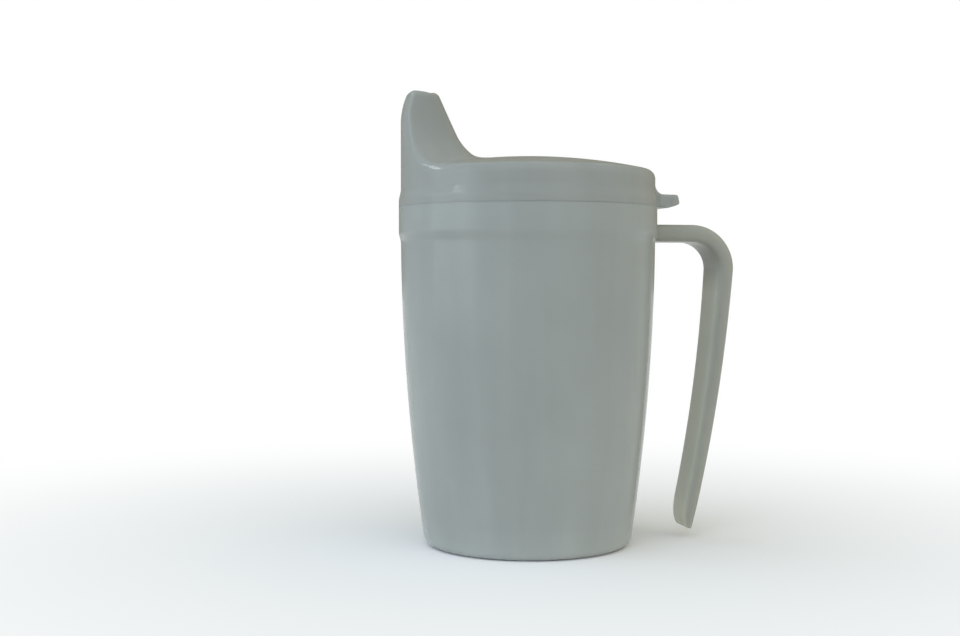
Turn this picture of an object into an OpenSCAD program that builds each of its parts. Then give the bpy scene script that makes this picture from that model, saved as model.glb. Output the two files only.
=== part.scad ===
// Invalid feeder: a translucent drinking cup with an open strap handle and a push-on lid with a spout.
// The cup stands on the XY plane with its axis on Z. The spout is at -X and the handle at +X.

/* [Cup] */
// Height of the cup, from the table to its rim
cup_h = 96.5; // [80:0.5:115]
// Outside diameter of the band round the rim
band_d = 74; // [64:0.5:84]
// Height of the band round the rim
band_h = 10.4; // [7:0.1:14]
// Thickness of the cup's wall inside the band
band_t = 2; // [1.6:0.1:2.6]
// How far the band stands out from the wall below it
band_step = 0.6; // [0.3:0.1:1]
// Height over which the band runs out into the wall below it
band_ramp = 1.2; // [0.6:0.1:2]
// Outside diameter that the wall tapers to at the table
foot_d = 59.2; // [50:0.2:64]
// How far the wall bows out from a straight taper, at half height
wall_bow = 1.5; // [0:0.1:2.5]
// Thickness of the wall
wall_t = 1.6; // [1:0.1:2.2]
// Thickness of the floor
floor_t = 2; // [1.2:0.1:3]
// Height of the hollow under the floor
hollow_h = 1.2; // [0.6:0.1:2.5]
// Width of the flat ring that the cup stands on
ring_w = 2.4; // [1.5:0.1:4]
// Radius of the outside corner at the foot
foot_round = 3; // [1.5:0.1:5]
// Radius of the inside corner between the wall and the floor
floor_round = 4.5; // [2:0.1:7]
// Radius of the rim's two edges
rim_round = 0.25; // [0.2:0.05:0.5]

/* [Lid] */
// How far the lid's wall stands in from the band round the cup's rim
lid_step = 0.6; // [0.3:0.1:1.2]
// Height of the lid's wall above the rim
lid_h = 10; // [8:0.5:14]
// Thickness of the lid
lid_t = 1.5; // [1:0.1:2]
// Rise of the domed top above the lid's wall
dome_rise = 4.2; // [2:0.1:8]
// Radius of the shoulder between the wall and the dome
shoulder_r = 2; // [1.7:0.1:3]
// Height of the flange's upright edge
flange_h = 1.6; // [1.4:0.1:3]
// Height over which the flange tapers into the wall
flange_taper_h = 3.6; // [1.5:0.1:4]
// Depth of the plug below the rim
plug_h = 10.3; // [6:0.1:14]
// Thickness of the plug
plug_t = 1.4; // [1:0.1:1.8]
// Gap between the plug and the cup
plug_gap = 0.4; // [0.3:0.05:0.6]
// Gap between the plug's sealing bead and the cup
bead_gap = 0.1; // [0.05:0.05:0.2]
// Height of the sealing bead
bead_h = 1.6; // [1:0.1:2.4]
// Diameter of the air vent in the dome
vent_d = 2.4; // [1.5:0.1:4]
// Distance of the air vent from the lid's axis
vent_reach = 20; // [12:0.5:26]

/* [Spout] */
// Height of the spout's lip above the rim
spout_h = 32.3; // [28:0.1:40]
// Width of the spout below its lip
spout_w = 13; // [11:0.5:20]
// Depth of the spout at its lip, from the lid's wall inwards
spout_depth = 9.8; // [8.8:0.1:12]
// Slope of the spout's back
back_slope = 25; // [15:1:32]
// Thickness of the spout's wall
spout_t = 1.4; // [1:0.1:1.8]
// How far the outer face leans in at the lip
lip_lean = 1.9; // [1:0.1:3]
// Height over which the outer face leans in
lip_lean_h = 8.5; // [5:0.5:12]
// Radius of the lip's two corners, seen from outside
lip_round = 2.5; // [1.5:0.1:4]
// Slope of the lip, down towards the lid's axis
lip_slope = 3; // [0:0.5:8]
// Height of the sweep at the spout's root, where it runs into the lid's shoulder
side_sweep_h = 17; // [8:0.5:19]
// How far that sweep reaches along the lid's wall, to each side
side_sweep = 14; // [8:0.5:16]
// Height of the sweep at the spout's back, where it runs into the dome
back_sweep_h = 7; // [4:0.5:10]
// How far that sweep reaches over the dome
back_sweep = 5; // [2:0.5:8]
// Width of the drinking slot
slot_w = 7.5; // [6:0.5:8.5]
// Front-to-back size of the drinking slot
slot_d = 4.6; // [4.2:0.1:4.8]

/* [Thumb tab] */
// How far the tab reaches out from the flange
tab_reach = 8.3; // [6:0.1:10]
// Width of the tab at its root
tab_w = 14; // [10:0.5:20]
// Thickness of the tab
tab_t = 3.9; // [2.5:0.1:4.2]
// Length of the tab's level under side, beyond the flange
tab_level = 3.7; // [1:0.1:4.5]
// Size of the bevels above and below the tab's tip
tab_bevel = 1.3; // [0.6:0.1:1.6]
// Radius of the tab's corners
tab_round = 4; // [2:0.1:5]
// Radius of the hollow between the tab and the lid's wall
tab_fillet = 2.6; // [1:0.1:4]

/* [Handle] */
// Width of the handle's strap at its root
handle_w = 14; // [9:0.5:16]
// Width of the strap at its tip
tip_w = 12; // [7:0.1:14]
// Thickness of the strap at its root
handle_t = 5; // [3.5:0.1:6]
// Thickness of the strap above its rounded tip
tip_t = 3.7; // [2.5:0.1:5]
// Radius of the strap's long edges
edge_round = 2.2; // [0.5:0.1:2.5]
// Gap for the fingers between the cup's wall and the strap
finger_gap = 19.6; // [16:0.1:26]
// Drop from the rim to the top of the strap's root
arm_drop = 4.7; // [3:0.1:9]
// Radius of the strap's bend, along its middle
bend_r = 10.2; // [7:0.1:12]
// Lean of the strap towards the cup, just below the bend
lean_top = 4; // [2:0.5:6]
// Lean of the strap towards the cup, at its tip
lean_tip = 13.5; // [8:0.5:15]
// Height of the strap's tip above the table
tip_gap = 3; // [2:0.5:10]
// Length of the rounding on the tip's inner side
tip_round = 6.5; // [3:0.5:9]
// Share of the strap's thickness that is left at the very tip
tip_keep = 0.35; // [0.25:0.05:0.6]

/* [Hidden] */
$fn = 96;

// Steps along the bowed wall, and along a quarter of a round corner
WALL_STEPS = 24;
CORNER_STEPS = 8;
// Rings along the sweep at the spout's root and along its lip, and points round each ring
ROOT_RINGS = 8;
LIP_RINGS = 4;
SPOUT_SIDES = 36;
// Steps up the spout's bent outer face
LEAN_STEPS = 8;
// Rings along the handle's bend, along its leg and along its tip
BEND_RINGS = 10;
LEG_RINGS = 12;
TIP_RINGS = 8;
// Steps round each edge of the handle's section, and half of the least flat between two edges
EDGE_STEPS = 5;
EDGE_FLAT = 0.1;
// How far a cutting solid runs past what it cuts, and a joined one into what carries it
PAST = 1;

band_r = band_d / 2;
wall_top_r = band_r - band_step;
wall_top_z = cup_h - band_h;
foot_r = foot_d / 2;
floor_z = hollow_h + floor_t;
seat_r = band_r - band_t;
seat_z = cup_h - plug_h - PAST;

lid_r = band_r - lid_step;
lid_top_z = cup_h + lid_h;
dome_r = (lid_r * lid_r + dome_rise * dome_rise) / (2 * dome_rise);
dome_z = lid_top_z + dome_rise - dome_r;
taper_z = cup_h + flange_h + flange_taper_h;
plug_r = seat_r - plug_gap;
bead_r = seat_r - bead_gap;
plug_in_r = plug_r - plug_t;
lip_z = cup_h + spout_h;
back_foot_r = lid_r - spout_depth - (spout_h - lid_h) * tan(back_slope);
back_z = dome_z + sqrt(dome_r * dome_r - back_foot_r * back_foot_r);
lean_z = lip_z - lip_lean_h;
sweep_h = min(side_sweep_h, spout_h - lid_h - lip_round - PAST);

arm_z = cup_h - arm_drop - handle_t / 2;
leg_x = wall_top_r + finger_gap + handle_t / 2;
bend_x = leg_x - bend_r;
bend_z = arm_z - bend_r;
leg_start = [bend_x + bend_r * cos(lean_top), bend_z - bend_r * sin(lean_top)];
leg_r = (leg_start[1] - tip_gap) / (sin(lean_tip) - sin(lean_top));
leg_l = leg_r * (lean_tip - lean_top) * PI / 180;

INK = [0.62, 0.66, 0.65];

// Points on an arc about [x, z], from angle a to angle b
function arc(x, z, r, a, b, steps = CORNER_STEPS) =
    [for (i = [0 : steps]) let (t = a + (b - a) * i / steps) [x + r * cos(t), z + r * sin(t)]];

// Outside radius of the wall at a height, a straight taper bowed out by a parabola
function wall_r(z) =
    let (t = z / wall_top_z)
    foot_r + (wall_top_r - foot_r) * t + 4 * wall_bow * t * (1 - t);

// Angle that the wall leans out from the upright at a height
function wall_lean(z) =
    atan((wall_top_r - foot_r + 4 * wall_bow * (1 - 2 * z / wall_top_z)) / wall_top_z);

// Points down or up one face of the wall, set in from its outside
function wall_points(from, to, inset) =
    [for (i = [0 : WALL_STEPS]) let (z = from + (to - from) * i / WALL_STEPS) [wall_r(z) - inset, z]];

// A quarter round between a level face at height z and the wall, on the side that is set in by inset
function wall_corner(z, r, inset) =
    let (lean = wall_lean(z + r), end_z = z + r - r * sin(lean), x = wall_r(end_z) - inset - r * cos(lean))
    arc(x, z + r, r, -90, -lean);

// The cup's outside, from the foot to the rim
foot_corner = wall_corner(0, foot_round, 0);
floor_corner = wall_corner(floor_z, floor_round, wall_t);
hollow_r = foot_corner[0][0] - ring_w;
cup_outside = concat(
    foot_corner,
    wall_points(foot_corner[CORNER_STEPS][1] + PAST, wall_top_z, 0),
    [[band_r, wall_top_z + band_ramp]],
    arc(band_r - rim_round, cup_h - rim_round, rim_round, 0, 90));
cup_inside = concat(
    arc(seat_r + rim_round, cup_h - rim_round, rim_round, 90, 180),
    [[seat_r, seat_z]],
    wall_points(seat_z - PAST, floor_corner[CORNER_STEPS][1] + PAST, wall_t),
    [for (i = [CORNER_STEPS : -1 : 0]) floor_corner[i]]);

// The solid inside the cup's outer skin
module cup_envelope() {
    rotate_extrude()
        polygon(concat([[0, 0]], cup_outside, [[0, cup_h]]));
}

module cup() {
    color(INK)
        rotate_extrude()
            polygon(concat(
                [[0, hollow_h], [hollow_r - hollow_h, hollow_h], [hollow_r, 0]],
                cup_outside, cup_inside, [[0, floor_z]]));
}

// One ring of the handle's strap at a point of its path: a rounded rectangle across the path.
// The path runs in the XZ plane, and lean is its angle from straight down towards the cup.
function strap_ring(at, lean, w, t) =
    let (out = [cos(lean), -sin(lean)], r = min(edge_round, t / 2 - EDGE_FLAT), flat = [w / 2 - r, t / 2 - r])
    [for (q = [0 : 3]) for (p = arc(0, 0, r, 90 * q, 90 * q + 90, EDGE_STEPS))
        let (side = p[0] + flat[0] * (q == 0 || q == 3 ? 1 : -1),
             depth = p[1] + flat[1] * (q < 2 ? 1 : -1))
        [at[0] + out[0] * depth, side, at[1] + out[1] * depth]];

// Rings along the arm, the bend and the leg. The tip thins from its inner side, so its outer face runs straight.
function leg_point(lean) =
    leg_start + leg_r * [cos(lean) - cos(lean_top), sin(lean_top) - sin(lean)];
function leg_lean(s) = lean_top + (lean_tip - lean_top) * s / leg_l;
function tip_thin(s) =
    let (q = max(0, (s - leg_l + tip_round) / tip_round))
    tip_keep + (1 - tip_keep) * sqrt(max(0, 1 - q * q));
function leg_ring(s) =
    let (lean = leg_lean(s), share = s / leg_l, w = handle_w + (tip_w - handle_w) * share,
         full = handle_t + (tip_t - handle_t) * share, t = full * tip_thin(s),
         out = [cos(lean), -sin(lean)])
    strap_ring(leg_point(lean) + out * (full - t) / 2, lean, w, t);
handle_rings = concat(
    [for (x = [wall_top_r - wall_t, bend_x]) strap_ring([x, arm_z], -90, handle_w, handle_t)],
    [for (i = [1 : BEND_RINGS])
        let (lean = -90 + (90 + lean_top) * i / BEND_RINGS)
        strap_ring([bend_x, bend_z] + bend_r * [cos(lean), -sin(lean)], lean, handle_w, handle_t)],
    [for (i = [1 : LEG_RINGS]) leg_ring((leg_l - tip_round) * i / LEG_RINGS)],
    [for (i = [1 : TIP_RINGS]) leg_ring(leg_l - tip_round * (1 - sin(90 * i / TIP_RINGS)))]);

// A closed skin through rings that have the same count of points
module skin(rings) {
    n = len(rings[0]);
    last = len(rings) - 1;
    polyhedron(
        points = [for (ring = rings) for (p = ring) p],
        faces = concat(
            [[for (i = [0 : n - 1]) i]],
            [for (k = [0 : last - 1]) for (i = [0 : n - 1])
                let (a = k * n + i, b = k * n + (i + 1) % n)
                each [[a, a + n, b], [b, a + n, b + n]]],
            [[for (i = [n - 1 : -1 : 0]) last * n + i]]));
}

module handle() {
    color(INK)
        difference() {
            skin(handle_rings);
            cup_envelope();
        }
}

// Half width and depth of the spout at a height, measured from the lid's wall and set in by inset.
// Its sides are upright and its back slopes. Both sweep out at the root, and the lip's corners are round.
// The sweep is set down by the same inset, so that the root keeps its thickness where it runs level.
function quarter(q) =
    let (c = min(1, max(0, q)))
    1 - sqrt(1 - c * c);
function spout_half(z, inset) =
    spout_w / 2 - inset + side_sweep * quarter((lid_top_z + sweep_h - z - inset) / sweep_h)
    - lip_round * quarter((z - lip_z + lip_round) / lip_round);
function spout_back(z, inset) =
    spout_depth - inset + (lip_z - z) * tan(back_slope)
    + back_sweep * quarter((back_z + back_sweep_h - z - inset) / back_sweep_h);

function spout_heights(inset) = concat(
    [taper_z],
    [for (i = [0 : ROOT_RINGS]) lid_top_z - inset + sweep_h * (1 - cos(90 * i / ROOT_RINGS))],
    [for (i = [0 : LIP_RINGS]) lip_z - lip_round * (1 - sin(90 * i / LIP_RINGS))],
    [lip_z + PAST]);

// An elliptic ring of the spout about the lid's wall
function spout_ring(z, inset) =
    [for (i = [0 : SPOUT_SIDES - 1])
        let (a = 360 * i / SPOUT_SIDES)
        [-lid_r + spout_back(z, inset) * cos(a), spout_half(z, inset) * sin(a), z]];
module spout_core(inset) {
    skin([for (z = spout_heights(inset)) spout_ring(z, inset)]);
}

// What the spout's outer face may fill: the lid's wall run upwards, bending in towards the lip
module spout_envelope(inset) {
    rotate_extrude()
        polygon(concat(
            [[0, taper_z], [lid_r - inset, taper_z]],
            [for (i = [0 : LEAN_STEPS + 1])
                let (q = i / LEAN_STEPS)
                [lid_r - inset - lip_lean * q * q, lean_z + lip_lean_h * q]],
            [[0, lean_z + lip_lean_h * (LEAN_STEPS + 1) / LEAN_STEPS]]));
}

// Everything above the sloping lip, shifted down by drop
module above_lip(drop) {
    translate([-lid_r + lip_lean, 0, lip_z - drop])
        rotate([0, lip_slope, 0])
            translate([-PAST - lip_lean, -spout_w, 0])
                cube([2 * lid_r, 2 * spout_w, spout_h]);
}

module spout_outside() {
    difference() {
        intersection() {
            spout_core(0);
            spout_envelope(0);
        }
        above_lip(0);
    }
}

module spout_passage() {
    difference() {
        intersection() {
            spout_core(spout_t);
            spout_envelope(spout_t);
        }
        above_lip(spout_t);
    }
}

// The drinking slot, a long hole with round ends through the lip
module drinking_slot() {
    slot_x = -lid_r + (lip_lean + spout_depth) / 2;
    translate([slot_x, 0, lip_z - spout_t - PAST])
        linear_extrude(height = spout_t + 2 * PAST)
            polygon(concat(
                arc(0, (slot_w - slot_d) / 2, slot_d / 2, 0, 180),
                arc(0, -(slot_w - slot_d) / 2, slot_d / 2, 180, 360)));
}

// A domed cap's outline from its wall to the axis, set in by inset
function dome_outline(inset) =
    let (r = lid_r - inset, big = dome_r - inset, small = max(shoulder_r - inset, rim_round),
         z = dome_z + sqrt(pow(big - small, 2) - pow(r - small, 2)),
         turn = atan2(z - dome_z, r - small))
    concat(arc(r - small, z, small, 0, turn), arc(0, dome_z, big, turn, 90));

// The lid as if it were solid: flange, wall, shoulder and dome above the rim, and the plug below it
module lid_outside() {
    bead_top_z = cup_h - plug_h + 2 * bead_h;
    rotate_extrude()
        polygon(concat(
            [[0, cup_h - plug_h], [plug_r - bead_h / 2, cup_h - plug_h], [plug_r, bead_top_z - 1.5 * bead_h],
             [bead_r, bead_top_z - bead_h], [bead_r, bead_top_z - bead_h / 2], [plug_r, bead_top_z],
             [plug_r, cup_h]],
            arc(band_r - rim_round, cup_h + rim_round, rim_round, -90, 0),
            [[band_r, cup_h + flange_h], [lid_r, taper_z]],
            dome_outline(0)));
}

module lid_cavity() {
    rotate_extrude()
        polygon(concat(
            [[0, cup_h - plug_h - PAST], [plug_in_r, cup_h - plug_h - PAST], [plug_in_r, cup_h + flange_h / 2],
             [lid_r - lid_t, taper_z]],
            dome_outline(lid_t)));
}

// The tab that a thumb lifts the lid by: its side view and its plan, each run out and crossed
module thumb_tab() {
    root = lid_r - lid_t - PAST;
    tip = band_r + tab_reach;
    low = cup_h + rim_round / 2;
    side = concat(
        [[root, low], [band_r + tab_level, low], [tip, low + tab_bevel], [tip - tab_bevel, low + tab_t]],
        arc(lid_r + tab_fillet, low + tab_t + tab_fillet, tab_fillet, 270, 180),
        [[root, low + tab_t + tab_fillet]]);
    plan = concat(
        [[root - PAST, -tab_w / 2], [band_r + PAST, -tab_w / 2]],
        arc(tip - tab_round, tab_round - tab_w / 2 + PAST, tab_round, -90, 0),
        arc(tip - tab_round, tab_w / 2 - tab_round - PAST, tab_round, 0, 90),
        [[band_r + PAST, tab_w / 2], [root - PAST, tab_w / 2]]);
    intersection() {
        translate([0, tab_w / 2 + PAST, 0])
            rotate([90, 0, 0])
                linear_extrude(height = tab_w + 2 * PAST)
                    polygon(side);
        translate([0, 0, cup_h])
            linear_extrude(height = lid_h)
                polygon(plan);
    }
}

module lid() {
    color(INK)
        difference() {
            union() {
                lid_outside();
                spout_outside();
                thumb_tab();
            }
            lid_cavity();
            spout_passage();
            drinking_slot();
            translate([vent_reach, 0, lid_top_z - lid_t])
                cylinder(d = vent_d, h = dome_rise + 2 * lid_t);
        }
}

cup();
handle();
lid();
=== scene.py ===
import math

import bpy
import numpy as np
from mathutils import Matrix, Vector


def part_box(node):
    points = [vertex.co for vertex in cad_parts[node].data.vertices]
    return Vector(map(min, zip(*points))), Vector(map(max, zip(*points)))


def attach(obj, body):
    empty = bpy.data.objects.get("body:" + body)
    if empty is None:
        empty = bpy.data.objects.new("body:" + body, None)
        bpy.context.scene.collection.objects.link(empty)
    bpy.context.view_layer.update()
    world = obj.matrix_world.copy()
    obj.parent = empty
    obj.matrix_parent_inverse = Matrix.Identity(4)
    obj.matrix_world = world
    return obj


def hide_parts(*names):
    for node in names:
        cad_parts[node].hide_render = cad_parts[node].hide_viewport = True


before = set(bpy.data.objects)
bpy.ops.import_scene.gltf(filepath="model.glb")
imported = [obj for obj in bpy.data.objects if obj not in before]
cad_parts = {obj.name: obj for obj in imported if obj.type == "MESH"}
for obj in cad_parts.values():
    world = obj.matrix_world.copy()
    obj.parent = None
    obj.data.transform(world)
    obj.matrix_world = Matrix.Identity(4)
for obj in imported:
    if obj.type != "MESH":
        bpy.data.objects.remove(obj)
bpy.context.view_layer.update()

MM = 0.001

# Sizes in millimetres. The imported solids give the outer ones, and the rest are the mouldings' own.
cup_low, cup_high = (np.array(c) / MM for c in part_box("cup"))
lid_low, lid_high = (np.array(c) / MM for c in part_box("lid"))
handle_low, handle_high = (np.array(c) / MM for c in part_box("handle"))

CUP_H = cup_high[2]
BAND_R = cup_high[1]
BAND_H = 10.4
BAND_T = 2.0
BAND_STEP = 0.6
BAND_RAMP = 3.4
FOOT_R = 29.6
WALL_BOW = 1.5
WALL_T = 1.6
FLOOR_T = 2.0
HOLLOW_H = 1.2
RING_W = 2.4
FOOT_ROUND = 3.0
FLOOR_ROUND = 4.5
HOLLOW_ROUND = 0.6
RING_ROUND = 0.3
SEAT_ROUND = 0.3
RIM_ROUND = 0.06
SEAT_PAST = 1.0
CUP_SIDES = 256
WALL_ROWS = 40
RAMP_ROWS = 9

LID_STEP = 0.6
LID_H = 10.0
LID_T = 1.5
DOME_RISE = 4.2
FLANGE_H = 1.6
FLANGE_TAPER_H = 3.6
FLANGE_POINTS = 25
PLUG_H = CUP_H - lid_low[2]
PLUG_T = 1.4
PLUG_GAP = 0.4
BEAD_GAP = 0.1
BEAD_H = 1.6
BEAD_ROUND = 0.3
PLUG_ROUND = 0.2
INSIDE_ROUND = 1.0
VENT_R = 1.2
VENT_REACH = 20.0
VENT_EDGE_R = 0.25

SPOUT_H = 32.3
SPOUT_HALF = 6.5
SPOUT_DEPTH = 9.8
BACK_SLOPE = math.tan(math.radians(25))
SPOUT_T = 1.4
SPOUT_FILLET = 1.5
SIDE_SWEEP = 14.0
SIDE_SWEEP_H = 17.0
BACK_SWEEP = 5.0
BACK_SWEEP_H = 7.0
LIP_LEAN = 1.9
LIP_LEAN_H = 8.5
LEAN_END, LEAN_POINTS = 1.3, 14
LIP_ROUND = 2.5
LIP_SLOPE = math.radians(3)
LIP_EDGE_R = 1.0
SLOT_W = 7.5
SLOT_D = 4.6
SLOT_EDGE_R = 0.4
SHOULDER_R = 2.0
SPOUT_EDGE_R = 0.8
HOLLOW_EDGE_R = 0.6
HOLLOW_TOP_R = 0.5
SEAT_PRESS = 0.05

TAB_TIP = lid_high[0]
TAB_W = 14.0
TAB_T = 3.9
TAB_LEVEL = 3.7
TAB_BEVEL = 1.3
TAB_ROUND = 4.0
TAB_NARROW = 1.0
TAB_FILLET = 2.6
TAB_BELLY_R = 3.0
TAB_NOSE_R = 0.5
TAB_BROW_R = 0.6
TAB_EDGE_R = 0.6
TAB_BLEND_R = 0.5
TAB_LIFT = 0.12
TAB_SINK = 0.5
TAB_STRAIGHT = 1.0
TAB_STEPS = 12

HANDLE_W = handle_high[1] - handle_low[1]
TIP_W = 12.0
HANDLE_T = 5.0
TIP_T = 3.7
EDGE_ROUND = 2.2
ARM_TOP = handle_high[2]
FINGER_GAP = 19.6
BEND_R = 10.2
LEAN_TOP = math.radians(4)
LEAN_TIP = math.radians(13.5)
TIP_GAP = 3.0
TIP_ROUND = 8.5
TIP_KEEP = 0.25
TIP_W_KEEP = 0.7
EDGE_FLAT = 0.1
EDGE_STEPS = 7
WELD = 0.35
WELD_RINGS = 7
ARM_FROM = 1.2
ARM_RINGS = 6
BEND_RINGS = 30
LEG_RINGS = 36
TIP_RINGS = 16

LID_R = BAND_R - LID_STEP
WALL_TOP_R = BAND_R - BAND_STEP
WALL_TOP_Z = CUP_H - BAND_H
SEAT_R = BAND_R - BAND_T
SEAT_Z = CUP_H - PLUG_H - SEAT_PAST
LID_TOP_Z = CUP_H + LID_H
LIP_Z = CUP_H + SPOUT_H
DOME_R = (LID_R ** 2 + DOME_RISE ** 2) / (2 * DOME_RISE)
DOME_Z = LID_TOP_Z + DOME_RISE - DOME_R
BACK_FOOT_R = LID_R - SPOUT_DEPTH - (LIP_Z - LID_TOP_Z) * BACK_SLOPE
BACK_Z = DOME_Z + math.sqrt(DOME_R ** 2 - BACK_FOOT_R ** 2)


# Outlines
CORNER_STEPS = 5
CORNER_SHARE = 0.48
WALL_CORNER_STEPS = 10


def arc(x, z, r, a, b, steps):
    """Points on an arc about (x, z), from a to b degrees."""
    t = np.radians(np.linspace(a, b, steps + 1))
    return [(x + r * math.cos(v), z + r * math.sin(v)) for v in t]


def rounded(points):
    """A polyline whose corners are rounded: each point is (x, z) or (x, z, radius). A rounding takes
    less than half of the sides it joins."""
    out = []
    for i, p in enumerate(points):
        if len(p) < 3 or i in (0, len(points) - 1):
            out.append(tuple(p[:2]))
            continue
        at = np.array(p[:2])
        u = np.array(points[i - 1][:2]) - at
        v = np.array(points[i + 1][:2]) - at
        lu, lv = np.linalg.norm(u), np.linalg.norm(v)
        u, v = u / lu, v / lv
        half = math.acos(np.clip(u @ v, -1, 1)) / 2
        reach = min(p[2] / math.tan(half), CORNER_SHARE * lu, CORNER_SHARE * lv)
        radius = reach * math.tan(half)
        middle = (u + v) / np.linalg.norm(u + v)
        centre = at + middle * radius / math.sin(half)
        a, b = at + u * reach - centre, at + v * reach - centre
        turn = math.atan2(a[0] * b[1] - a[1] * b[0], a @ b)
        for s in np.linspace(0, turn, CORNER_STEPS + 1):
            c, d = math.cos(s), math.sin(s)
            out.append((centre[0] + c * a[0] - d * a[1], centre[1] + d * a[0] + c * a[1]))
    return out


def wall_r(z):
    """Outer radius of the cup's bowed wall."""
    t = z / WALL_TOP_Z
    return FOOT_R + (WALL_TOP_R - FOOT_R) * t + 4 * WALL_BOW * t * (1 - t)


def band_r(z):
    """Outer radius of the cup's band, with its soft ramp at the bottom."""
    t = np.clip((z - WALL_TOP_Z) / BAND_RAMP, 0, 1)
    return WALL_TOP_R + BAND_STEP * (1 - np.cos(math.pi * t)) / 2


def wall_corner(z, r, inset):
    """The rounded corner between a floor at height z and the leaning wall."""
    spread = WALL_TOP_R - FOOT_R + 4 * WALL_BOW * (1 - 2 * (z + r) / WALL_TOP_Z)
    lean = math.atan(spread / WALL_TOP_Z)
    end = z + r - r * math.sin(lean)
    centre = wall_r(end) - inset - r * math.cos(lean)
    return arc(centre, z + r, r, -90, -math.degrees(lean), WALL_CORNER_STEPS)


def new_object(name, verts, faces, normals, material):
    """A mesh object from sizes in millimetres. It is shaded flat where normals is None, and smooth
    otherwise, with the given normals if there are any."""
    mesh = bpy.data.meshes.new(name)
    points = [tuple(v) for v in np.asarray(verts) * MM]
    mesh.from_pydata(points, [], [tuple(int(i) for i in f) for f in faces])
    mesh.update()
    mesh.polygons.foreach_set("use_smooth", [normals is not None] * len(mesh.polygons))
    if normals is not None and len(normals):
        mesh.normals_split_custom_set_from_vertices([tuple(n) for n in normals])
    mesh.materials.append(material)
    obj = bpy.data.objects.new(name, mesh)
    bpy.context.scene.collection.objects.link(obj)
    return obj


def lathe(outline, sides):
    """Vertices and faces of an outline turned about Z. Its first and last points are on the axis."""
    ring = np.radians(np.arange(sides) * 360 / sides)
    verts = [(0, 0, outline[0][1])]
    for r, z in outline[1:-1]:
        verts += [(r * c, r * s, z) for c, s in zip(np.cos(ring), np.sin(ring))]
    verts.append((0, 0, outline[-1][1]))
    faces = []
    rows = len(outline) - 2
    for i in range(sides):
        j = (i + 1) % sides
        faces.append((0, 1 + j, 1 + i))
        faces.append((len(verts) - 1, 1 + (rows - 1) * sides + i, 1 + (rows - 1) * sides + j))
        for k in range(rows - 1):
            a, b = 1 + k * sides, 1 + (k + 1) * sides
            faces.append((a + i, a + j, b + j, b + i))
    return verts, faces, []


# Materials
ZONE_TOP = 130
PALEST = 1.5
CLOUD_SCALE, CLOUD_DETAIL = 28, 3
CLOUD_TONE = (0.96, 1.04)
FLOW_STRETCH, FLOW_DETAIL = (130, 130, 9), 2
FLOW_TONE = (0.97, 1.03)
SCUFF_SCALE, SCUFF_DETAIL, SCUFF_GRIT = 420, 6, 0.65
SCUFF_STRETCH = (1, 1, 0.35)
ROUGHNESS = (0.15, 0.19)
GRAIN_SCALE, GRAIN_DETAIL, GRAIN_GRIT = 900, 4, 0.6
GRAIN_STRENGTH, GRAIN_DEPTH = 0.12, 0.0003
PLASTIC_IOR, PLASTIC_SPECULAR = 1.35, 0.25
SCATTER_COLOUR = (1.0, 1.0, 0.95)
# Normal X at which the painted light on the side facing -X ends
PAINTED_LIGHT_EDGE = -0.2


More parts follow.
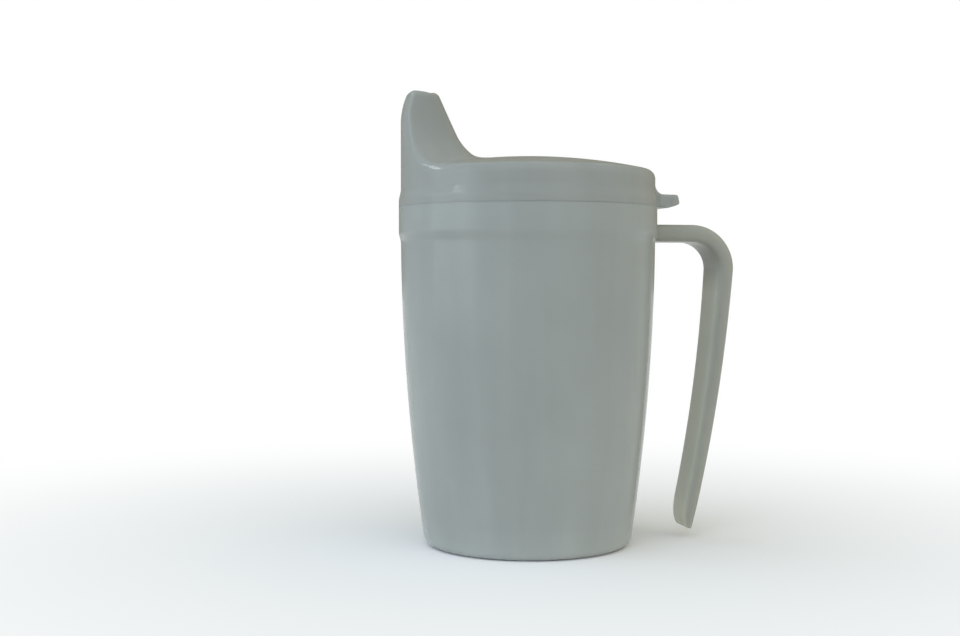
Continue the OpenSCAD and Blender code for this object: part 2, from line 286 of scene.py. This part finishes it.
def plastic(name, tint, painted_light_zones, scatter, inner=None):
    """Milky polypropylene: a clouded body with faint flow marks, a smooth skin and fine handling scuffs,
    and painted light: paler by height where light would come through the thick foot and the doubled
    collar, and to lift the shade at the foot. Zones are heights in mm and how pale the body is painted
    there, scatter is how far light spreads inside it in metres, and inner is painted light on the side
    that faces -X, towards the cup: how much paler it is, with the heights where that fades out."""
    mat = bpy.data.materials.new(name)
    mat.use_nodes = True
    nodes, links = mat.node_tree.nodes, mat.node_tree.links
    nodes.clear()
    out = nodes.new("ShaderNodeOutputMaterial")
    bsdf = nodes.new("ShaderNodeBsdfPrincipled")
    links.new(bsdf.outputs["BSDF"], out.inputs["Surface"])
    where = nodes.new("ShaderNodeTexCoord").outputs["Object"]

    def noise(scale, detail, roughness=0.5, stretch=(1, 1, 1)):
        place = nodes.new("ShaderNodeMapping")
        place.inputs["Scale"].default_value = stretch
        links.new(where, place.inputs["Vector"])
        tex = nodes.new("ShaderNodeTexNoise")
        tex.inputs["Scale"].default_value = scale
        tex.inputs["Detail"].default_value = detail
        tex.inputs["Roughness"].default_value = roughness
        links.new(place.outputs["Vector"], tex.inputs["Vector"])
        return tex.outputs["Fac"]

    def spread(value, low, high, start=0.3, end=0.7):
        node = nodes.new("ShaderNodeMapRange")
        node.inputs["From Min"].default_value = start
        node.inputs["From Max"].default_value = end
        node.inputs["To Min"].default_value = low
        node.inputs["To Max"].default_value = high
        links.new(value, node.inputs["Value"])
        return node.outputs["Result"]

    def mult(a, b):
        node = nodes.new("ShaderNodeMath")
        node.operation = "MULTIPLY"
        links.new(a, node.inputs[0])
        links.new(b, node.inputs[1])
        return node.outputs["Value"]

    clouds = spread(noise(CLOUD_SCALE, CLOUD_DETAIL), *CLOUD_TONE)
    flow = spread(noise(1, FLOW_DETAIL, stretch=FLOW_STRETCH), *FLOW_TONE)
    height = nodes.new("ShaderNodeSeparateXYZ")
    links.new(where, height.inputs[0])
    # Painted light by height: the zones make the body paler where light is painted in
    painted_light = nodes.new("ShaderNodeFloatCurve")
    points = painted_light.mapping.curves[0].points
    while len(points) < len(painted_light_zones):
        points.new(0.5, 0.5)
    for point, (z, much) in zip(points, painted_light_zones):
        point.location = (z / ZONE_TOP, much / PALEST)
        point.handle_type = "AUTO_CLAMPED"
    painted_light.mapping.update()
    links.new(spread(height.outputs["Z"], 0, 1, 0, ZONE_TOP * MM), painted_light.inputs["Value"])
    colour = nodes.new("ShaderNodeVectorMath")
    colour.operation = "SCALE"
    colour.inputs[0].default_value = [PALEST * c for c in tint]
    body = mult(mult(clouds, flow), painted_light.outputs["Value"])
    # Painted light: the side facing -X, towards the cup, is made paler below the given heights, standing
    # in for light coming through the translucent cup
    if inner:
        much, low, high = inner
        facing = nodes.new("ShaderNodeSeparateXYZ")
        links.new(nodes.new("ShaderNodeTexCoord").outputs["Normal"], facing.inputs[0])
        side = spread(facing.outputs["X"], 1, 0, -1, PAINTED_LIGHT_EDGE)
        below = spread(height.outputs["Z"], 1, 0, low * MM, high * MM)
        inside = mult(mult(mult(side, side), side), below)
        body = mult(body, spread(inside, 1, 1 + much, 0, 1))
    links.new(body, colour.inputs["Scale"])
    links.new(colour.outputs["Vector"], bsdf.inputs["Base Color"])

    scuffs = noise(SCUFF_SCALE, SCUFF_DETAIL, SCUFF_GRIT, SCUFF_STRETCH)
    links.new(spread(scuffs, *ROUGHNESS), bsdf.inputs["Roughness"])
    bump = nodes.new("ShaderNodeBump")
    bump.inputs["Strength"].default_value = GRAIN_STRENGTH
    bump.inputs["Distance"].default_value = GRAIN_DEPTH
    links.new(noise(GRAIN_SCALE, GRAIN_DETAIL, GRAIN_GRIT), bump.inputs["Height"])
    links.new(bump.outputs["Normal"], bsdf.inputs["Normal"])
    bsdf.inputs["IOR"].default_value = PLASTIC_IOR
    bsdf.inputs["Specular IOR Level"].default_value = PLASTIC_SPECULAR
    bsdf.inputs["Subsurface Weight"].default_value = 1.0
    bsdf.inputs["Subsurface Radius"].default_value = SCATTER_COLOUR
    bsdf.inputs["Subsurface Scale"].default_value = scatter
    return mat


# Painted light: the cup is painted paler near the foot, for light through the thick base and to lift the
# shade there, and a little paler from the collar up, for light from the doubled wall
BASE_PAINTED_LIGHT = ((0, 1.18), (5, 1.11), (7, 1.09), (9, 1.06), (25, 1.05))
COLLAR_PAINTED_LIGHT = ((WALL_TOP_Z - 1, 1.0), (WALL_TOP_Z + 1, 1.02), (ZONE_TOP, 1.02))
EVEN = ((0, 1.0), (ZONE_TOP, 1.0))
CUP_TINT, CUP_SCATTER = (0.324, 0.333, 0.312), 0.0015
LID_TINT, LID_SCATTER = (0.31, 0.313, 0.292), 0.0012
HANDLE_TINT, HANDLE_SCATTER = (0.306, 0.301, 0.26), 0.004
# Painted light on the handle's side facing the cup: how much paler, and the heights in mm where it fades
# out
HANDLE_PAINTED_LIGHT = (0.95, 72, 84)
cup_mat = plastic("cup_plastic", CUP_TINT, BASE_PAINTED_LIGHT + COLLAR_PAINTED_LIGHT, CUP_SCATTER)
lid_mat = plastic("lid_plastic", LID_TINT, EVEN, LID_SCATTER)
handle_mat = plastic("handle_plastic", HANDLE_TINT, EVEN, HANDLE_SCATTER, HANDLE_PAINTED_LIGHT)


# Cup
def make_cup():
    """One closed outline, turned about Z: hollow, foot, wall, band, rim, seat, inside and floor."""
    floor_z = HOLLOW_H + FLOOR_T
    foot = wall_corner(0, FOOT_ROUND, 0)
    inner = wall_corner(floor_z, FLOOR_ROUND, WALL_T)
    hollow_r = foot[0][0] - RING_W
    outline = [(0, HOLLOW_H), (hollow_r - HOLLOW_H, HOLLOW_H, HOLLOW_ROUND), (hollow_r, 0, RING_ROUND)]
    outline += foot
    outline += [(wall_r(z), z) for z in np.linspace(foot[-1][1] + 1, WALL_TOP_Z - 1, WALL_ROWS)]
    outline += [(band_r(z), z) for z in np.linspace(WALL_TOP_Z, WALL_TOP_Z + BAND_RAMP, RAMP_ROWS)]
    outline += [(BAND_R, CUP_H, RIM_ROUND), (SEAT_R, CUP_H, RIM_ROUND), (SEAT_R, SEAT_Z, SEAT_ROUND)]
    outline += [(wall_r(z) - WALL_T, z) for z in np.linspace(SEAT_Z - 1, inner[-1][1] + 1, WALL_ROWS)]
    outline += inner[::-1] + [(0, floor_z)]
    return lathe(rounded(outline), CUP_SIDES)


# Handle
def make_handle():
    """A strap of round-edged rings: weld at the band, level arm, bend, curved leg and rounded tip."""
    arm_z = ARM_TOP - HANDLE_T / 2
    bend = np.array([WALL_TOP_R + FINGER_GAP + HANDLE_T / 2 - BEND_R, arm_z - BEND_R])
    start = bend + BEND_R * np.array([math.cos(LEAN_TOP), -math.sin(LEAN_TOP)])
    leg_r = (start[1] - TIP_GAP) / (math.sin(LEAN_TIP) - math.sin(LEAN_TOP))
    leg_l = leg_r * (LEAN_TIP - LEAN_TOP)

    def ring(at, lean, w, t, grow=0.0):
        out = np.array([math.cos(lean), -math.sin(lean)])
        r = min(EDGE_ROUND, t / 2 - EDGE_FLAT)
        pts = []
        for q in range(4):
            cx = (w / 2 - r) * (1 if q in (0, 3) else -1)
            cz = (t / 2 - r) * (1 if q < 2 else -1)
            pts += arc(cx, cz, r + grow, 90 * q, 90 * q + 90, EDGE_STEPS)
        return np.array([(at[0] + out[0] * d, s, at[1] + out[1] * d) for s, d in pts])

    rings = []
    for i in range(WELD_RINGS):
        turn = math.radians(90 * i / (WELD_RINGS - 1))
        away = WELD * (1 - math.cos(turn))
        grow = WELD * (1 - math.sin(turn))
        loop = ring((0, arm_z), -math.pi / 2, HANDLE_W, HANDLE_T, grow)
        loop[:, 0] = np.sqrt(band_r(loop[:, 2]) ** 2 - loop[:, 1] ** 2) + away
        rings.append(loop)
    for x in np.linspace(BAND_R + ARM_FROM, bend[0], ARM_RINGS):
        rings.append(ring((x, arm_z), -math.pi / 2, HANDLE_W, HANDLE_T))
    for i in range(1, BEND_RINGS + 1):
        lean = -math.pi / 2 + (math.pi / 2 + LEAN_TOP) * i / BEND_RINGS
        at = bend + BEND_R * np.array([math.cos(lean), -math.sin(lean)])
        rings.append(ring(at, lean, HANDLE_W, HANDLE_T))
    along = list(np.linspace(0, leg_l - TIP_ROUND, LEG_RINGS + 1)[1:])
    for i in range(1, TIP_RINGS + 1):
        along.append(leg_l - TIP_ROUND * (1 - math.sin(math.radians(90 * i / TIP_RINGS))))
    for s in along:
        lean = LEAN_TOP + (LEAN_TIP - LEAN_TOP) * s / leg_l
        q = max(0.0, (s - leg_l + TIP_ROUND) / TIP_ROUND)
        full = HANDLE_T + (TIP_T - HANDLE_T) * s / leg_l
        left = math.sqrt(max(0.0, 1 - q * q))
        t = full * (TIP_KEEP + (1 - TIP_KEEP) * left)
        w = (HANDLE_W + (TIP_W - HANDLE_W) * s / leg_l) * (TIP_W_KEEP + (1 - TIP_W_KEEP) * left)
        out = np.array([math.cos(lean), -math.sin(lean)])
        move = np.array([math.cos(lean) - math.cos(LEAN_TOP), math.sin(LEAN_TOP) - math.sin(lean)])
        at = start + leg_r * move
        rings.append(ring(at + out * (full - t) / 2, lean, w, t))
    n = len(rings[0])
    verts = np.concatenate(rings + [rings[0].mean(0)[None], rings[-1].mean(0)[None]])
    verts[-2, 0] = band_r(arm_z)
    faces = []
    last = len(rings) - 1
    for i in range(n):
        j = (i + 1) % n
        faces.append((len(verts) - 2, j, i))
        faces.append((len(verts) - 1, last * n + i, last * n + j))
        for k in range(last):
            faces.append((k * n + i, k * n + j, (k + 1) * n + j, (k + 1) * n + i))
    return verts, faces, []


# Lid, as the zero surface of a distance field, so that its spout, dome, wall and tab flow into each other
class Outline:
    """Signed distance to a closed outline, negative inside, sampled once and looked up."""

    STEP = 0.1
    MARGIN = 8

    def __init__(self, points):
        p = np.asarray(points, float)
        self.low = p.min(0) - self.MARGIN
        n = np.ceil((p.max(0) + self.MARGIN - self.low) / self.STEP).astype(int) + 2
        axes = (self.low[i] + self.STEP * np.arange(n[i]) for i in (0, 1))
        r, z = np.meshgrid(*axes, indexing="ij")
        best = np.full(r.shape, np.inf)
        inside = np.zeros(r.shape, bool)
        for a, b in zip(p, np.roll(p, -1, 0)):
            d = b - a
            t = np.clip(((r - a[0]) * d[0] + (z - a[1]) * d[1]) / max(d @ d, 1e-12), 0, 1)
            best = np.minimum(best, (r - a[0] - t * d[0]) ** 2 + (z - a[1] - t * d[1]) ** 2)
            if a[1] != b[1]:
                inside ^= ((a[1] > z) != (b[1] > z)) & (r < a[0] + d[0] * (z - a[1]) / d[1])
        self.grid = np.sqrt(best) * np.where(inside, -1, 1)

    def __call__(self, r, z):
        u = np.clip((r - self.low[0]) / self.STEP, 0, self.grid.shape[0] - 1.001)
        v = np.clip((z - self.low[1]) / self.STEP, 0, self.grid.shape[1] - 1.001)
        i, j = u.astype(int), v.astype(int)
        u, v = u - i, v - j
        g = self.grid
        low = g[i, j] * (1 - u) + g[i + 1, j] * u
        high = g[i, j + 1] * (1 - u) + g[i + 1, j + 1] * u
        return low * (1 - v) + high * v


def join(a, b, r):
    """The union of two fields, blended with a fillet of radius r."""
    return np.maximum(r, np.minimum(a, b)) - np.hypot(np.maximum(r - a, 0), np.maximum(r - b, 0))


def common(a, b, r):
    """What two fields share, with its edge rounded to radius r."""
    return np.minimum(-r, np.maximum(a, b)) + np.hypot(np.maximum(a + r, 0), np.maximum(b + r, 0))


def lean_in(inset):
    """The upper end of the lid's outer wall, which leans in to the lip and runs on above it."""
    q = np.linspace(0, LEAN_END, LEAN_POINTS)
    return [(LID_R - inset - LIP_LEAN * v * v, LIP_Z + LIP_LEAN_H * (v - 1)) for v in q]


def lid_field():
    """The lid's distance field: dome, spout, wall, plug and tab, less the hollow, slot and vent."""
    taper_z = CUP_H + FLANGE_H + FLANGE_TAPER_H
    plug_r = SEAT_R - PLUG_GAP
    bead_r = SEAT_R - BEAD_GAP
    low = CUP_H - PLUG_H
    bead = low + 2 * BEAD_H
    axis = -20  # an outline closes well past the lid's axis
    past = 5  # the hollow's outline starts this far below the plug
    seat = CUP_H - SEAT_PRESS
    rise = lean_in(0)
    swell = [(LID_R + LID_STEP * (1 + math.cos(math.pi * t)) / 2, CUP_H + FLANGE_H + FLANGE_TAPER_H * t)
             for t in np.linspace(0, 1, FLANGE_POINTS)]
    outside = Outline(rounded(
        [(axis, low),
         (plug_r - BEAD_H / 2, low, BEAD_ROUND),
         (plug_r, low + BEAD_H / 2, PLUG_ROUND),
         (bead_r, low + BEAD_H, BEAD_ROUND),
         (bead_r, bead - BEAD_H / 2, BEAD_ROUND),
         (plug_r, bead, PLUG_ROUND),
         (plug_r, seat, PLUG_ROUND),
         (BAND_R, seat)]
        + swell + rise + [(axis, rise[-1][1])]))
    rise = lean_in(SPOUT_T)
    inside = Outline(rounded(
        [(axis, low - past),
         (plug_r - PLUG_T, low - past),
         (plug_r - PLUG_T, CUP_H + FLANGE_H / 2, INSIDE_ROUND),
         (LID_R - LID_T, taper_z, INSIDE_ROUND)]
        + rise + [(axis, rise[-1][1])]))

    root = LID_R - LID_T + TAB_SINK
    floor = CUP_H + TAB_LIFT
    top = floor + TAB_T
    side = Outline(rounded(
        [(root, floor),
         (BAND_R + TAB_LEVEL, floor, TAB_BELLY_R),
         (TAB_TIP, floor + TAB_BEVEL, TAB_NOSE_R),
         (TAB_TIP - TAB_BEVEL, top, TAB_BROW_R)]
        + arc(LID_R + TAB_FILLET, top + TAB_FILLET, TAB_FILLET, 270, 180, TAB_STEPS)
        + [(root, top + TAB_FILLET)]))
    tip = TAB_W / 2 - TAB_ROUND - TAB_NARROW
    plan = Outline(
        [(root - 1, -TAB_W / 2), (BAND_R + TAB_STRAIGHT, -TAB_W / 2)]
        + arc(TAB_TIP - TAB_ROUND, -tip, TAB_ROUND, -90, 0, TAB_STEPS)
        + arc(TAB_TIP - TAB_ROUND, tip, TAB_ROUND, 0, 90, TAB_STEPS)
        + [(BAND_R + TAB_STRAIGHT, TAB_W / 2), (root - 1, TAB_W / 2)])
    slot_x = -LID_R + (LIP_LEAN + SPOUT_DEPTH) / 2
    slot_h, vent_h = 8, 4  # how far down the two holes are cut, into the hollow
    far = 5  # the value below a hole, where it cuts nothing

    def sweep(q):
        """A quarter round from 0 to 1, and its slope."""
        q = np.clip(q, 0, 0.98)
        side = np.sqrt(1 - q * q)
        return 1 - side, q / side

    def spout(x, y, z, inset):
        """About the distance to the spout, whose half width h and depth b change with height."""
        u = x + LID_R
        lip, lip_rate = sweep((z - LIP_Z + LIP_ROUND) / LIP_ROUND)
        root, root_rate = sweep((LID_TOP_Z + SIDE_SWEEP_H - z - inset) / SIDE_SWEEP_H)
        back, back_rate = sweep((BACK_Z + BACK_SWEEP_H - z - inset) / BACK_SWEEP_H)
        h = SPOUT_HALF - inset + SIDE_SWEEP * root - LIP_ROUND * lip
        dh = -SIDE_SWEEP / SIDE_SWEEP_H * root_rate - lip_rate
        b = SPOUT_DEPTH - inset + (LIP_Z - z) * BACK_SLOPE + BACK_SWEEP * back
        db = -BACK_SLOPE - BACK_SWEEP / BACK_SWEEP_H * back_rate
        s = np.sqrt((u / b) ** 2 + (y / h) ** 2) + 1e-6
        rise = u * u * db / b ** 3 + y * y * dh / h ** 3
        slope = np.sqrt((u / b ** 2) ** 2 + (y / h ** 2) ** 2 + rise ** 2) / s
        return (s - 1) / (slope + 1e-6)

    def field(x, y, z):
        r = np.hypot(x, y)
        dome = np.hypot(r, z - DOME_Z) - DOME_R
        lip = (z - LIP_Z) * math.cos(LIP_SLOPE) + (x + LID_R - LIP_LEAN) * math.sin(LIP_SLOPE)
        body = join(dome, spout(x, y, z, 0), SPOUT_FILLET)
        edge = np.interp(z, (LID_TOP_Z, LID_TOP_Z + SIDE_SWEEP_H / 2), (SHOULDER_R, SPOUT_EDGE_R))
        body = common(common(body, outside(r, z), edge), lip, LIP_EDGE_R)
        body = join(body, common(side(x, z), plan(x, y), TAB_EDGE_R), TAB_BLEND_R)
        hollow = join(dome + LID_T, spout(x, y, z, SPOUT_T), SPOUT_FILLET + LID_T)
        hollow = common(common(hollow, inside(r, z), HOLLOW_EDGE_R), lip + SPOUT_T, HOLLOW_TOP_R)
        shell = np.maximum(body, -hollow)
        slot = np.hypot(x - slot_x, np.maximum(np.abs(y) - (SLOT_W - SLOT_D) / 2, 0)) - SLOT_D / 2
        slot = np.where(z > LIP_Z - slot_h, slot, far)
        vent = np.where(z > LID_TOP_Z - vent_h, np.hypot(x - VENT_REACH, y) - VENT_R, far)
        return common(common(shell, -slot, SLOT_EDGE_R), -vent, VENT_EDGE_R)

    return field


PROBE = 0.04
PULLS, LONGEST_PULL = 3, 0.3
LEAST_SLOPE = 0.2


def surface(field, low, high, step):
    """A quad mesh of the field's zero surface: one vertex per mixed cell, drawn onto the surface,
    with its normals and the low corners of the cells."""
    n = np.ceil((np.array(high) - low) / step).astype(int) + 1
    axes = [low[i] + step * np.arange(n[i]) for i in range(3)]
    y, z = np.meshgrid(axes[1], axes[2], indexing="ij")
    value = np.stack([field(np.full(y.shape, x), y, z) for x in axes[0]])
    solid = value < 0
    corners = [(i, j, k) for i in (0, 1) for j in (0, 1) for k in (0, 1)]
    part = {c: tuple(slice(c[a], n[a] - 1 + c[a]) for a in range(3)) for c in corners}
    count = sum(solid[part[c]].astype(np.int8) for c in corners)
    cells = np.argwhere((count > 0) & (count < 8))
    index = np.full(count.shape, -1)
    index[tuple(cells.T)] = np.arange(len(cells))
    total = np.zeros((len(cells), 3))
    hits = np.zeros(len(cells))
    for a in corners:
        for axis in range(3):
            if a[axis]:
                continue
            b = tuple(1 if i == axis else a[i] for i in range(3))
            fa = value[tuple((cells + a).T)]
            fb = value[tuple((cells + b).T)]
            cross = (fa < 0) != (fb < 0)
            t = np.where(cross, fa / np.where(cross, fa - fb, 1), 0)
            at = np.array(a) + t[:, None] * (np.array(b) - np.array(a))
            total += at * cross[:, None]
            hits += cross
    verts = np.array(low) + step * (cells + total / hits[:, None])

    def slope():
        rises = [field(*(verts + d).T) - field(*(verts - d).T) for d in PROBE * np.eye(3)]
        return np.stack(rises, 1) / (2 * PROBE)

    for _ in range(PULLS):
        grad = slope()
        move = field(*verts.T)[:, None] * grad / np.maximum((grad ** 2).sum(1), LEAST_SLOPE)[:, None]
        verts -= np.clip(move, -LONGEST_PULL * step, LONGEST_PULL * step)
    normals = slope()
    normals /= np.linalg.norm(normals, axis=1)[:, None] + 1e-9
    faces = []
    for axis in range(3):
        b, c = (axis + 1) % 3, (axis + 2) % 3
        near = [slice(None)] * 3
        far = [slice(None)] * 3
        near[axis], far[axis] = slice(0, -1), slice(1, None)
        edges = np.argwhere(solid[tuple(near)] != solid[tuple(far)])
        eb, ec = edges[:, b], edges[:, c]
        edges = edges[(eb > 0) & (ec > 0) & (eb < n[b] - 1) & (ec < n[c] - 1)]
        quad = []
        for db, dc in ((1, 1), (0, 1), (0, 0), (1, 0)):
            cell = edges.copy()
            cell[:, b] -= db
            cell[:, c] -= dc
            quad.append(index[tuple(cell.T)])
        quad = np.stack(quad, 1)
        flip = ~solid[tuple(edges.T)]
        quad[flip] = quad[flip][:, ::-1]
        faces.append(quad)
    return verts, np.concatenate(faces), normals, np.array(low) + step * cells


CELL, QUICK_CELL = 0.51, 0.8
LID_MARGIN = 1.0


def make_lid():
    """The field's mesh, with the flange's lower edge drawn to a clean circle at the seat."""
    step = CELL
    seat = CUP_H - SEAT_PRESS
    low = lid_low - LID_MARGIN
    low[2] = seat - (math.ceil((seat - low[2]) / step) + 0.5) * step
    verts, faces, normals, cells = surface(lid_field(), low, lid_high + LID_MARGIN, step)
    corners = [np.hypot(cells[:, 0] + i * step, cells[:, 1] + j * step) for i in (0, 1) for j in (0, 1)]
    edge = (np.min(corners, 0) < BAND_R) & (np.max(corners, 0) > BAND_R)
    edge &= np.abs(cells[:, 2] + step / 2 - seat) < step / 4
    edge &= (verts[:, 0] < 0) | (np.abs(verts[:, 1]) > TAB_W / 2 + 1)
    r = np.hypot(verts[edge, 0], verts[edge, 1])
    verts[edge, :2] *= (BAND_R / r)[:, None]
    verts[edge, 2] = seat
    normals[edge] = verts[edge] * (1 / BAND_R, 1 / BAND_R, 0)
    return verts, faces, normals


cup = new_object("cup_moulding", *make_cup(), cup_mat)
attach(cup, "cup")
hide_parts("cup")

handle = new_object("handle_moulding", *make_handle(), handle_mat)
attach(handle, "cup")
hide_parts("handle")

lid = new_object("lid_moulding", *make_lid(), lid_mat)
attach(lid, "lid")
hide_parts("lid")


# Stage
FLOOR_REACH = 4000
FLOOR_Z = -0.05
FADE_FROM, FADE_TO = 0.03, 0.28
PAPER = (0.98, 0.945, 0.94, 1)
PAPER_ROUGHNESS, PAPER_SPECULAR = 0.9, 0.1


def make_floor():
    """White paper that fades, for the camera alone, into the white background away from the cup."""
    mat = bpy.data.materials.new("floor_paper")
    mat.use_nodes = True
    nodes, links = mat.node_tree.nodes, mat.node_tree.links
    paper = nodes["Principled BSDF"]
    paper.inputs["Base Color"].default_value = PAPER
    paper.inputs["Roughness"].default_value = PAPER_ROUGHNESS
    paper.inputs["Specular IOR Level"].default_value = PAPER_SPECULAR
    white = nodes.new("ShaderNodeEmission")
    where = nodes.new("ShaderNodeTexCoord")
    away = nodes.new("ShaderNodeVectorMath")
    away.operation = "LENGTH"
    links.new(where.outputs["Object"], away.inputs[0])
    fade = nodes.new("ShaderNodeMapRange")
    fade.interpolation_type = "SMOOTHSTEP"
    fade.inputs["From Min"].default_value = FADE_FROM
    fade.inputs["From Max"].default_value = FADE_TO
    links.new(away.outputs["Value"], fade.inputs["Value"])
    seen = nodes.new("ShaderNodeMath")
    seen.operation = "MULTIPLY"
    links.new(fade.outputs["Result"], seen.inputs[0])
    links.new(nodes.new("ShaderNodeLightPath").outputs["Is Camera Ray"], seen.inputs[1])
    mix = nodes.new("ShaderNodeMixShader")
    links.new(seen.outputs["Value"], mix.inputs["Fac"])
    links.new(paper.outputs["BSDF"], mix.inputs[1])
    links.new(white.outputs["Emission"], mix.inputs[2])
    links.new(mix.outputs["Shader"], nodes["Material Output"].inputs["Surface"])
    signs = ((-1, -1), (1, -1), (1, 1), (-1, 1))
    corners = [(x * FLOOR_REACH, y * FLOOR_REACH, FLOOR_Z) for x, y in signs]
    new_object("floor", corners, [(0, 1, 2, 3)], None, mat)


make_floor()


AIM = (0, 0, 0.07)


def make_light(name, at, size, watts, colour, glint=False):
    """An area lamp aimed at the cup's middle. One that is a glint shows only as a reflection."""
    data = bpy.data.lights.new(name, "AREA")
    data.shape = "RECTANGLE"
    data.size, data.size_y = size
    data.energy = watts
    data.color = colour
    obj = bpy.data.objects.new(name, data)
    obj.location = at
    obj.rotation_euler = (Vector(AIM) - Vector(at)).to_track_quat("-Z", "Y").to_euler()
    obj.visible_diffuse = not glint
    bpy.context.scene.collection.objects.link(obj)


make_light("window", (-0.92, -0.145, 0.52), (0.07, 0.1), 0.6, (0.85, 0.96, 1.0), glint=True)
make_light("sky", (-0.62, 0.33, 0.6), (0.18, 0.18), 1.35, (0.88, 0.97, 1.0), glint=True)
make_light("sheen", (-0.89, -0.14, 0.08), (0.75, 0.8), 5.6, (0.84, 0.98, 1.0), glint=True)
make_light("room", (0.6, -0.8, 0.3), (0.06, 0.5), 0.15, (1.0, 0.95, 0.84))


COOL_SIDE = (-0.85, -0.52, 0.1)
COOL = (0.98, 1.17, 1.37)
WARM = (0.82, 0.745, 0.47)
FRONT_SIDE = (-0.4, -0.9, 0.12)
FRONT, BACK = 1.4, 0.28


def make_world():
    """Soft light from all round, cool on the spout's side and warm on the handle's, stronger in front
    than behind. The camera sees plain white."""
    world = bpy.data.worlds.new("studio")
    bpy.context.scene.world = world
    world.use_nodes = True
    nodes, links = world.node_tree.nodes, world.node_tree.links
    nodes.clear()
    out = nodes.new("ShaderNodeOutputWorld")
    soft = nodes.new("ShaderNodeBackground")
    where = nodes.new("ShaderNodeTexCoord")
    lean = nodes.new("ShaderNodeVectorMath")
    lean.operation = "DOT_PRODUCT"
    lean.inputs[1].default_value = COOL_SIDE
    links.new(where.outputs["Generated"], lean.inputs[0])
    sides = nodes.new("ShaderNodeValToRGB")
    sides.color_ramp.elements[0].color = (*WARM, 1)
    sides.color_ramp.elements[1].color = (*COOL, 1)
    span = nodes.new("ShaderNodeMapRange")
    span.inputs["From Min"].default_value = -1
    links.new(lean.outputs["Value"], span.inputs["Value"])
    links.new(span.outputs["Result"], sides.inputs["Fac"])
    links.new(sides.outputs["Color"], soft.inputs["Color"])
    front = nodes.new("ShaderNodeVectorMath")
    front.operation = "DOT_PRODUCT"
    front.inputs[1].default_value = FRONT_SIDE
    links.new(where.outputs["Generated"], front.inputs[0])
    level = nodes.new("ShaderNodeMapRange")
    level.inputs["From Min"].default_value = -1
    level.inputs["To Min"].default_value = BACK
    level.inputs["To Max"].default_value = FRONT
    links.new(front.outputs["Value"], level.inputs["Value"])
    links.new(level.outputs["Result"], soft.inputs["Strength"])
    white = nodes.new("ShaderNodeBackground")
    white.inputs["Color"].default_value = (1, 1, 1, 1)
    white.inputs["Strength"].default_value = 1.0
    mix = nodes.new("ShaderNodeMixShader")
    links.new(nodes.new("ShaderNodeLightPath").outputs["Is Camera Ray"], mix.inputs["Fac"])
    links.new(soft.outputs["Background"], mix.inputs[1])
    links.new(white.outputs["Background"], mix.inputs[2])
    links.new(mix.outputs["Shader"], out.inputs["Surface"])


make_world()


# Camera: stands to the spout's side of the front, level with the cup's upper half
CAMERA_AZIMUTH, CAMERA_YAW, CAMERA_PITCH = (math.radians(a) for a in (-14.8, -1.95, -1.61))
CAMERA_DISTANCE, CAMERA_HEIGHT = 0.4028, 0.0761
FOCAL_PX, PICTURE_PX = 1397.8, 960
SENSOR = 36


def make_camera():
    azimuth, yaw, pitch = CAMERA_AZIMUTH, CAMERA_YAW, CAMERA_PITCH
    back = Vector((math.sin(azimuth), -math.cos(azimuth), 0))
    side = Vector((math.cos(azimuth), math.sin(azimuth), 0))
    level = math.cos(yaw) * -back + math.sin(yaw) * side
    ahead = math.cos(pitch) * level + Vector((0, 0, math.sin(pitch)))
    right = ahead.cross(Vector((0, 0, 1))).normalized()
    up = right.cross(ahead)
    data = bpy.data.cameras.new("camera")
    data.sensor_width = SENSOR
    data.lens = FOCAL_PX * SENSOR / PICTURE_PX
    data.clip_start = 0.01
    obj = bpy.data.objects.new("camera", data)
    turn = Matrix((right, up, -ahead)).transposed()
    at = back * CAMERA_DISTANCE + Vector((0, 0, CAMERA_HEIGHT))
    obj.matrix_world = Matrix.Translation(at) @ turn.to_4x4()
    bpy.context.scene.collection.objects.link(obj)
    bpy.context.scene.camera = obj


make_camera()
bpy.context.scene.view_settings.view_transform = "Standard"
